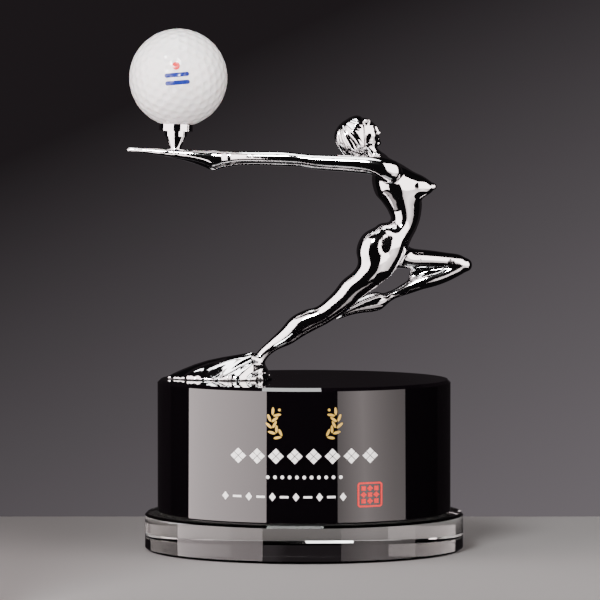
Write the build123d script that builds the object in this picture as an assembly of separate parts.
from build123d import *
import os
from math import cos, pi, radians, sin

# Figure trophy: a chrome-plated female figure leans back over a round black crystal block on a clear
# crystal disc. She holds a turned cup on her outstretched hands, and a golf ball rests in the cup.
# Millimetres. +Z is up, +X is the way the figure faces and the inscription is on the -Y side.
# The origin is the centre of the clear disc's underside, where the trophy stands.

# ---- Driving dimensions ----
disc_diameter = 139.0
disc_thickness = 16.0
disc_bevel = 1.0

block_diameter = 128.0
block_height = 58.0
block_top_bevel = 1.4
block_foot_bevel = 0.8
bond_film = 0.1  # cured resin between the disc and the block

ball_diameter = 42.67  # the smallest ball that the rules of golf allow
ball_cover_thickness = 1.8
ball_seat_gap = 0.1

enamel_thickness = 0.1

stud_diameter = 4.0
stud_hole_diameter = 5.2
stud_depth_in_block = 16.0
stud_depth_in_casting = 5.0

dowel_diameter = 2.0
dowel_gap = 0.02  # solder film round a dowel

# ---- Heights and places worked out from them ----
block_foot_z = disc_thickness + bond_film
block_top_z = block_foot_z + block_height
block_radius = block_diameter / 2
ball_radius = ball_diameter / 2
side = {"right": -1, "left": 1}  # the figure's right is on the -Y side

# ---- The cup, in its own frame: origin at its foot, +Z towards the ball ----
cup_foot = (-56.1, 0, 174.0)
cup_tilt = 2.5  # degrees from upright, leaning towards +X
ball_centre_height = 31.3
neck_foot_radius = 2.9
neck_waist_radius = 2.6
neck_top_radius = 4.6
step_radius = 5.0
rim_radius = 7.5
step_foot_height = 5.9
rim_foot_height = 8.2
cup_stud_diameter = 2.5
cup_stud_below = 2.2
cup_stud_above = 5.0

cup_frame = Location(cup_foot, (0, cup_tilt, 0))

# ---- Limbs: each row is x, y, z, radius in the XZ plane, radius along Y ----
torso_rows = [
    (32.2, 0, 169.5, 3.9, 8.0),
    (34.0, 0, 165.8, 6.5, 11.0),
    (37.4, 0, 160.3, 8.6, 12.4),
    (41.2, 0, 154.2, 8.1, 11.6),
    (43.1, 0, 149.0, 7.4, 10.2),
    (43.5, 0, 144.6, 6.5, 9.2),
    (42.7, 0, 140.7, 5.9, 9.0),
    (38.6, 0, 135.9, 8.0, 11.5),
    (34.3, 0, 131.0, 9.9, 13.0),
    (31.9, 0, 126.6, 8.4, 12.4),
    (30.4, 0, 123.6, 5.2, 9.5),
]
neck_rows = [
    (26.6, 0, 177.0, 3.4, 3.4),
    (29.6, 0, 173.2, 3.0, 3.1),
    (32.2, 0, 169.8, 3.4, 3.6),
    (34.6, 0, 166.0, 4.6, 5.0),
]
breast_rows = [  # y is an offset from the middle, towards the breast's own side
    (42.7, 4.6, 158.4, 6.6, 5.8),
    (47.0, 5.2, 158.1, 5.1, 4.8),
    (51.4, 5.8, 158.0, 3.8, 3.8),
    (54.9, 6.3, 158.0, 2.2, 2.3),
    (56.6, 6.5, 158.0, 0.9, 0.9),
]
right_arm_rows = [
    (36.6, -12.2, 165.3, 4.2, 4.0),
    (31.3, -12.2, 167.6, 3.75, 3.6),
    (24.4, -11.8, 168.5, 3.2, 3.3),
    (11.3, -10.6, 169.0, 2.85, 2.9),
    (-1.8, -9.2, 170.0, 2.35, 2.5),
    (-12.7, -7.9, 170.9, 2.35, 2.5),
    (-21.4, -6.6, 171.1, 2.15, 2.3),
    (-31.4, -4.9, 170.8, 2.45, 2.5),
    (-38.6, -3.4, 170.1, 3.65, 3.1),
    (-42.3, -3.0, 170.8, 3.05, 3.3),
    (-47.6, -2.7, 171.7, 2.3, 3.0),
    (-54.1, -2.5, 172.3, 1.85, 2.8),
    (-62.8, -2.1, 173.1, 1.5, 2.4),
    (-71.5, -1.5, 173.8, 1.15, 1.7),
    (-77.2, -1.0, 174.1, 0.95, 1.1),
    (-78.3, -0.9, 174.1, 0.4, 0.5),
]
left_arm_drop = 1.6  # the left arm lies lower than the right one
left_upper_arm_sag = 1.2
standing_leg_rows = [
    (35.4, -5.2, 126.0, 5.2, 5.0),
    (28.4, -6.1, 119.2, 5.3, 5.8),
    (25.3, -6.0, 117.0, 5.5, 6.0),
    (20.4, -5.6, 113.3, 5.55, 5.8),
    (12.5, -4.9, 105.4, 4.65, 4.7),
    (7.4, -4.5, 101.8, 4.3, 4.2),
    (2.8, -4.1, 100.2, 4.85, 4.5),
    (-2.5, -3.6, 97.2, 4.9, 4.6),
    (-8.0, -3.0, 92.5, 3.9, 3.8),
    (-13.7, -2.4, 88.4, 2.65, 2.8),
    (-17.2, -2.0, 85.6, 2.5, 2.6),
]
heel_rows = [
    (-20.4, -1.8, 81.0, 3.2, 3.6),
    (-22.5, -1.7, 76.0, 4.6, 5.4),
]
thigh_rows = [
    (36.0, 6.2, 127.0, 5.0, 5.6),
    (46.6, 6.6, 126.3, 4.7, 5.2),
    (54.9, 6.9, 125.8, 4.1, 4.6),
    (61.4, 7.1, 125.4, 3.6, 4.0),
    (69.6, 7.2, 123.9, 3.4, 3.6),
]
knee_place = (69.9, 7.2, 123.6)
knee_radius = 3.7
shin_rows = [
    (69.6, 7.2, 123.4, 3.2, 3.2),
    (60.1, 7.0, 119.3, 3.3, 3.4),
    (51.4, 6.8, 116.9, 3.6, 3.6),
    (44.3, 6.6, 113.5, 2.8, 2.8),
    (40.8, 6.5, 111.7, 2.4, 2.4),
    (36.9, 6.4, 109.5, 2.2, 2.3),
    (34.0, 6.3, 108.4, 3.2, 2.8),
    (31.0, 6.2, 107.4, 4.1, 3.1),
    (26.6, 6.0, 106.3, 3.6, 3.3),
    (20.9, 5.7, 104.3, 2.5, 3.2),
    (16.5, 5.4, 101.9, 1.6, 2.4),
    (13.9, 5.2, 99.9, 0.8, 1.2),
]
shoulder_place = (35.2, 11.0, 165.2)
shoulder_radius = 4.6
skull_place = (21.2, 0, 180.2)
skull_radii = (9.2, 7.5)
skull_tilt = -8.0  # degrees about Y
face_place = (27.6, 0, 180.0)
face_radii = (6.9, 5.3)
face_tilt = 60.0  # chin forward and low, brow back and high

# ---- The wave-shaped foot casting that the standing leg rises from ----
wave_middle_y = -1.6
wave_rows = [  # the height over the block comes fourth and the half width fifth, as in a limb
    (-59.4, wave_middle_y, block_top_z, 1.6, 2.2),
    (-55.0, wave_middle_y, block_top_z, 3.4, 5.6),
    (-50.0, wave_middle_y, block_top_z, 4.9, 8.6),
    (-42.0, wave_middle_y, block_top_z, 7.9, 12.0),
    (-32.0, wave_middle_y, block_top_z, 9.6, 13.7),
    (-23.0, wave_middle_y, block_top_z, 10.6, 12.4),
    (-16.0, wave_middle_y, block_top_z, 3.0, 8.6),
]

stud_x = (-44.0, -25.0)


section_points = 12
section_pitch = 4.0


def oval_at(centre, along, radius, depth_radius):
    """A smooth oval square to the direction along, with its depth radius on the Y side."""
    angles = [2 * pi * i / section_points for i in range(section_points)]
    points = [(depth_radius * cos(a), radius * sin(a)) for a in angles]
    return Plane(origin=centre, x_dir=(0, 1, 0), z_dir=along) * make_face(Spline(*points, periodic=True))


def evenly_spaced(rows):
    """The same limb as rows at equal distances along it, so that the loft doesn't overshoot."""
    lengths = [0]
    for a, b in zip(rows, rows[1:]):
        lengths.append(lengths[-1] + (Vector(*b[:3]) - Vector(*a[:3])).length)
    count = max(3, round(lengths[-1] / section_pitch))
    spaced = []
    k = 0
    for i in range(count + 1):
        along = lengths[-1] * i / count
        while k < len(rows) - 2 and along > lengths[k + 1]:
            k += 1
        t = (along - lengths[k]) / (lengths[k + 1] - lengths[k])
        spaced.append([a + (b - a) * t for a, b in zip(rows[k], rows[k + 1])])
    return spaced


def limb(rows):
    """A solid lofted through the oval of each row."""
    rows = evenly_spaced(rows)
    centres = [Vector(*row[:3]) for row in rows]
    last = len(rows) - 1
    sections = []
    for i, (centre, row) in enumerate(zip(centres, rows)):
        along = centres[min(i + 1, last)] - centres[max(i - 1, 0)]
        sections.append(oval_at(centre, along.normalized(), row[3], row[4]))
    return loft(sections)


def mirrored_rows(rows):
    """The same rows on the other side of the XZ plane."""
    return [(x, -y, z, radius, depth) for x, y, z, radius, depth in rows]


def egg(place, long_radius, round_radius, tilt=0.0):
    """A solid ellipsoid of revolution, long in X and then turned by tilt about Y."""
    half = Ellipse(long_radius, round_radius) & Pos(0, round_radius) * Rectangle(2 * long_radius, 2 * round_radius)
    return Location(place, (0, tilt, 0)) * revolve(half, axis=Axis.X)


def dowel(start, end, grow=0.0):
    """A straight pin from start to end, or the hole for it with grow over zero."""
    start = Vector(*start)
    end = Vector(*end)
    along = end - start
    length = along.length + 2 * grow
    plane = Plane(origin=start - along.normalized() * grow, z_dir=along)
    return plane * Cylinder(dowel_diameter / 2 + grow, length, align=(Align.CENTER, Align.CENTER, Align.MIN))


# ---- Base ----
def clear_disc():
    disc = Cylinder(disc_diameter / 2, disc_thickness, align=(Align.CENTER, Align.CENTER, Align.MIN))
    return chamfer(disc.edges().filter_by(GeomType.CIRCLE), disc_bevel)


def disc_bond_film():
    radius = block_radius - block_foot_bevel
    film = Cylinder(radius, bond_film, align=(Align.CENTER, Align.CENTER, Align.MIN))
    return Pos(0, 0, disc_thickness) * film


def stud_holes(diameter):
    """The two blind holes for the studs, or what fills them, down from the block's top."""
    holes = Part()
    for x in stud_x:
        column = Cylinder(diameter / 2, stud_depth_in_block, align=(Align.CENTER, Align.CENTER, Align.MAX))
        holes += Pos(x, wave_middle_y, block_top_z) * column
    return holes


def black_block():
    block = Cylinder(block_radius, block_height, align=(Align.CENTER, Align.CENTER, Align.MIN))
    edges = block.edges().filter_by(GeomType.CIRCLE).sort_by(Axis.Z)
    block = chamfer(edges[-1], block_top_bevel)
    edges = block.edges().filter_by(GeomType.CIRCLE).sort_by(Axis.Z)
    block = chamfer(edges[0], block_foot_bevel)
    return Pos(0, 0, block_foot_z) * block - stud_holes(stud_hole_diameter)


def base_studs():
    studs = []
    for x in stud_x:
        length = stud_depth_in_block + stud_depth_in_casting - 1
        stud = Cylinder(stud_diameter / 2, length, align=(Align.CENTER, Align.CENTER, Align.MAX))
        studs.append(Pos(x, wave_middle_y, block_top_z + stud_depth_in_casting) * stud)
    return Compound(studs)


def stud_resin(studs):
    """The cured resin that fills each hole round its stud."""
    return stud_holes(stud_hole_diameter) - studs


# ---- Enamel marks on the front of the block: generic ornament, no lettering ----
def on_block_front(sketches):
    """Flat shapes drawn in x and z, laid as a thin skin on the block's -Y side."""
    outer = Cylinder(block_radius + enamel_thickness, block_height)
    inner = Cylinder(block_radius, block_height + 1)
    skin = Pos(0, 0, block_foot_z + block_height / 2) * (outer - inner)
    front = Plane(origin=(0, -block_radius / 2, 0), x_dir=(1, 0, 0), z_dir=(0, -1, 0))
    reach = block_radius
    pieces = []
    for sketch in sketches:
        pieces += (skin & extrude(front * sketch, amount=reach)).solids()
    return Compound(pieces)


def diamond(x, z, width, height):
    return Pos(x, z) * Polygon((width / 2, 0), (0, height / 2), (-width / 2, 0), (0, -height / 2))


def laurel_marks():
    """A pair of laurel sprigs that curve towards each other."""
    sprig_radius = 6.0
    sprig_middle = (10.9, 59.5)
    leaf_length = 3.3
    leaf_width = 1.15
    leaf_lean = 38.0
    leaf_angles = [-62, -36, -10, 16, 42]
    marks = []
    for hand in (-1, 1):
        centre_x = hand * (sprig_middle[0] - sprig_radius / 2)
        for angle in leaf_angles:
            a = radians(angle)
            for lean in (-1, 1):
                stalk_radius = sprig_radius + lean * 1.25
                x = centre_x + hand * stalk_radius * cos(a)
                z = sprig_middle[1] + stalk_radius * sin(a)
                turn = angle + 90 - lean * leaf_lean
                turn = turn if hand > 0 else 180 - turn
                marks.append(Pos(x, z) * Rot(0, 0, turn) * Ellipse(leaf_length / 2, leaf_width / 2))
        a = radians(leaf_angles[-1] + 22)
        tip = (centre_x + hand * sprig_radius * cos(a), sprig_middle[1] + sprig_radius * sin(a))
        marks.append(Pos(*tip) * Circle(leaf_width / 2))
    return on_block_front(marks)


def white_marks():
    """A row of four-diamond rosettes, a row of beads, and a row of bars and diamonds."""
    marks = []
    rosette_z, rosette_pitch, rosette_count = 45.2, 8.0, 8
    petal, petal_offset = 3.1, 1.75
    for i in range(rosette_count):
        x = (i - (rosette_count - 1) / 2) * rosette_pitch
        for dx, dz in ((1, 0), (-1, 0), (0, 1), (0, -1)):
            marks.append(diamond(x + dx * petal_offset, rosette_z + dz * petal_offset, petal, petal))
    bead_z, bead_pitch, bead_count, bead_radius = 36.3, 3.1, 11, 0.75
    for i in range(bead_count):
        x = (i - (bead_count - 1) / 2) * bead_pitch
        marks.append(Pos(x, bead_z) * Circle(bead_radius))
    line_z, line_start, line_pitch, line_count = 27.9, -33.5, 5.0, 11
    for i in range(line_count):
        x = line_start + i * line_pitch
        if i % 2:
            marks.append(Pos(x, line_z) * Rectangle(3.6, 0.9))
        else:
            marks.append(diamond(x, line_z, 2.8, 3.6))
    return on_block_front(marks)


def seal_marks():
    """A square frame round a lattice of small squares."""
    seal_x, seal_z, seal_size, line_width = 27.9, 28.5, 10.6, 0.75
    tile, tile_pitch = 1.9, 2.7
    outer = RectangleRounded(seal_size, seal_size, 1.2)
    inner = RectangleRounded(seal_size - 2 * line_width, seal_size - 2 * line_width, 0.6)
    marks = [Pos(seal_x, seal_z) * (outer - inner)]
    for i in (-1, 0, 1):
        for k in (-1, 0, 1):
            place = Pos(seal_x + i * tile_pitch, seal_z + k * tile_pitch)
            marks.append(place * Rot(0, 0, 45 * ((i + k) % 2)) * Rectangle(tile, tile))
    return on_block_front(marks)


# ---- Figure ----
neck_dowel_ends = ((27.6, 0, 175.6), (33.6, 0, 166.6))
hip_dowel_ends = ((36.5, 6.3, 127.2), (47.5, 6.6, 126.2))
thigh_dowel_ends = ((30.5, -6.1, 121.4), (22.5, -5.7, 114.8))
ankle_dowel_ends = ((-10.4, -2.8, 90.9), (-21.0, -2.2, 81.8))


def shoulder_dowel_ends(hand):
    """A pin from inside the shoulder along the upper arm."""
    drop = left_arm_drop if hand > 0 else 0
    return (35.6, hand * 11.6, 165.2 - drop / 2), (24.6, hand * 11.9, 168.2 - drop - drop / 2)


def torso():
    body = limb(torso_rows) + limb(neck_rows)
    for hand in (-1, 1):
        x, y, z = shoulder_place
        body += Pos(x, hand * y, z) * Sphere(shoulder_radius)
        body += limb([(x, hand * y, z, radius, depth) for x, y, z, radius, depth in breast_rows])
        body -= dowel(*shoulder_dowel_ends(hand), grow=dowel_gap)
    body -= split_above_neck()
    body -= beyond_standing_hip()
    body -= beyond_bent_hip()
    for ends in (neck_dowel_ends, hip_dowel_ends, thigh_dowel_ends):
        body -= dowel(*ends, grow=dowel_gap)
    return body


neck_split = Plane(origin=(30.2, 0, 172.3), z_dir=(-0.62, 0, 0.785))


ankle_split = Plane(origin=(-13.2, -2.5, 88.8), z_dir=(0.81, 0, 0.586))
standing_hip_split = Plane(origin=(29.6, -6.0, 122.4), z_dir=(-0.7, 0, -0.714))
bent_hip_split = Plane(origin=(39.4, 6.3, 127.0), z_dir=(1, 0, 0.12))


def split_above_neck():
    """The space over the joint between neck and torso, round the neck alone."""
    return neck_split * Cylinder(9, 30, align=(Align.CENTER, Align.CENTER, Align.MIN))


def beyond_split(split, width, reach):
    """A block of space on the far side of a splitting plane."""
    return split * Box(width, width, reach, align=(Align.CENTER, Align.CENTER, Align.MIN))


def beyond_standing_hip():
    return beyond_split(standing_hip_split, 40, 90)


def beyond_bent_hip():
    return beyond_split(bent_hip_split, 13.6, 60)


def split_above_ankle():
    """The space over the joint between foot and standing leg, round the leg alone."""
    return ankle_split * Cylinder(20, 90, align=(Align.CENTER, Align.CENTER, Align.MIN))


def head():
    skull = egg(skull_place, *skull_radii, skull_tilt)
    face = egg(face_place, *face_radii, face_tilt)
    neck = limb(neck_rows) & split_above_neck()
    return skull + face + neck - dowel(*neck_dowel_ends, grow=dowel_gap)


def hand_half(hand):
    """The half of space on one side of the XZ plane, where the two hands meet."""
    reach = 100
    box = Box(2 * reach, reach, reach, align=(Align.CENTER, Align.MIN if hand > 0 else Align.MAX, Align.CENTER))
    return Pos(0, 0, cup_foot[2]) * box


def cup_landing():
    """The flat under the cup's foot, and the hole for its stud, cut in both hands."""
    flat = Cylinder(neck_foot_radius + 0.3, 5, align=(Align.CENTER, Align.CENTER, Align.MIN))
    hole = Cylinder(cup_stud_diameter / 2 + dowel_gap, cup_stud_below, align=(Align.CENTER, Align.CENTER, Align.MAX))
    return cup_frame * (flat + hole)


def arm(hand, body):
    rows = right_arm_rows
    if hand > 0:
        rows = []
        for x, y, z, radius, depth in mirrored_rows(right_arm_rows):
            drop = left_arm_drop * min(1, max(0, (x + 60) / 20)) * min(1, max(0.4, (44 - x) / 20))
            sag = left_upper_arm_sag if 5 < x < 30 else 0
            rows.append((x, y, z - drop - sag, radius + sag / 2, depth))
    return (limb(rows) & hand_half(hand)) - body - cup_landing() - dowel(*shoulder_dowel_ends(hand), grow=dowel_gap)


def largest(shape):
    """The biggest solid of a cut shape, without the slivers."""
    return shape.solids().sort_by(SortBy.VOLUME)[-1]


def standing_leg():
    leg = limb(standing_leg_rows) & split_above_ankle() & beyond_standing_hip()
    return leg - dowel(*thigh_dowel_ends, grow=dowel_gap) - dowel(*ankle_dowel_ends, grow=dowel_gap)


def bent_leg():
    thigh = limb(thigh_rows) & beyond_split(bent_hip_split, 120, 60)
    leg = thigh + limb(shin_rows) + Pos(*knee_place) * Sphere(knee_radius)
    return leg - dowel(*hip_dowel_ends, grow=dowel_gap)


def wave_foot(studs):
    """A low wave that runs out to a point under the standing leg, drilled for the two studs."""
    over_block = Box(200, 100, 40, align=(Align.CENTER, Align.CENTER, Align.MIN))
    wave = limb(wave_rows) + limb(standing_leg_rows[-3:] + heel_rows)
    wave = (wave & Pos(0, 0, block_top_z) * over_block) - split_above_ankle()
    return largest(wave) - studs - dowel(*ankle_dowel_ends, grow=dowel_gap)


# ---- Cup and ball ----
def ball_cup():
    seat_radius = ball_radius + ball_seat_gap
    rim_top = ball_centre_height - (seat_radius**2 - rim_radius**2) ** 0.5
    profile = Polyline(
        (0, 0), (neck_foot_radius, 0), (neck_waist_radius, 0.9), (neck_top_radius, step_foot_height),
        (step_radius, step_foot_height), (step_radius, rim_foot_height),
        (rim_radius, rim_foot_height), (rim_radius, rim_top), (0, rim_top), (0, 0),
    )
    blank = revolve(Plane.XZ * make_face(profile), axis=Axis.Z)
    blank -= Pos(0, 0, ball_centre_height) * Sphere(seat_radius)
    blank -= Cylinder(
        cup_stud_diameter / 2 + dowel_gap, cup_stud_above, align=(Align.CENTER, Align.CENTER, Align.MIN)
    )
    return cup_frame * blank


def cup_stud():
    length = cup_stud_below + cup_stud_above - 0.2
    pin = Cylinder(cup_stud_diameter / 2, length, align=(Align.CENTER, Align.CENTER, Align.MIN))
    return cup_frame * Pos(0, 0, 0.1 - cup_stud_below) * pin


def ball_core():
    return cup_frame * Pos(0, 0, ball_centre_height) * Sphere(ball_radius - ball_cover_thickness)


def ball_cover():
    shell = Sphere(ball_radius) - Sphere(ball_radius - ball_cover_thickness)
    return cup_frame * Pos(0, 0, ball_centre_height) * shell


# ---- Assembly ----
os.makedirs("parts", exist_ok=True)
studs = base_studs()
body = torso()
foot = wave_foot(studs)
nodes = {
    "clear_disc": clear_disc(),
    "disc_bond_film": disc_bond_film(),
    "black_block": black_block(),
    "laurel_marks": laurel_marks(),
    "white_marks": white_marks(),
    "seal_marks": seal_marks(),
    "base_studs": studs,
    "stud_resin": stud_resin(studs),
    "wave_foot": foot,
    "standing_leg": standing_leg(),
    "bent_leg": bent_leg(),
    "torso": body,
    "head": head(),
    "right_arm": arm(-1, body),
    "left_arm": arm(1, body),
    "neck_dowel": dowel(*neck_dowel_ends),
    "hip_dowel": dowel(*hip_dowel_ends),
    "thigh_dowel": dowel(*thigh_dowel_ends),
    "ankle_dowel": dowel(*ankle_dowel_ends),
    "right_shoulder_dowel": dowel(*shoulder_dowel_ends(-1)),
    "left_shoulder_dowel": dowel(*shoulder_dowel_ends(1)),
    "ball_cup": ball_cup(),
    "cup_stud": cup_stud(),
    "ball_core": ball_core(),
    "ball_cover": ball_cover(),
}
for name, shape in nodes.items():
    export_step(shape, f"parts/{name}.step")
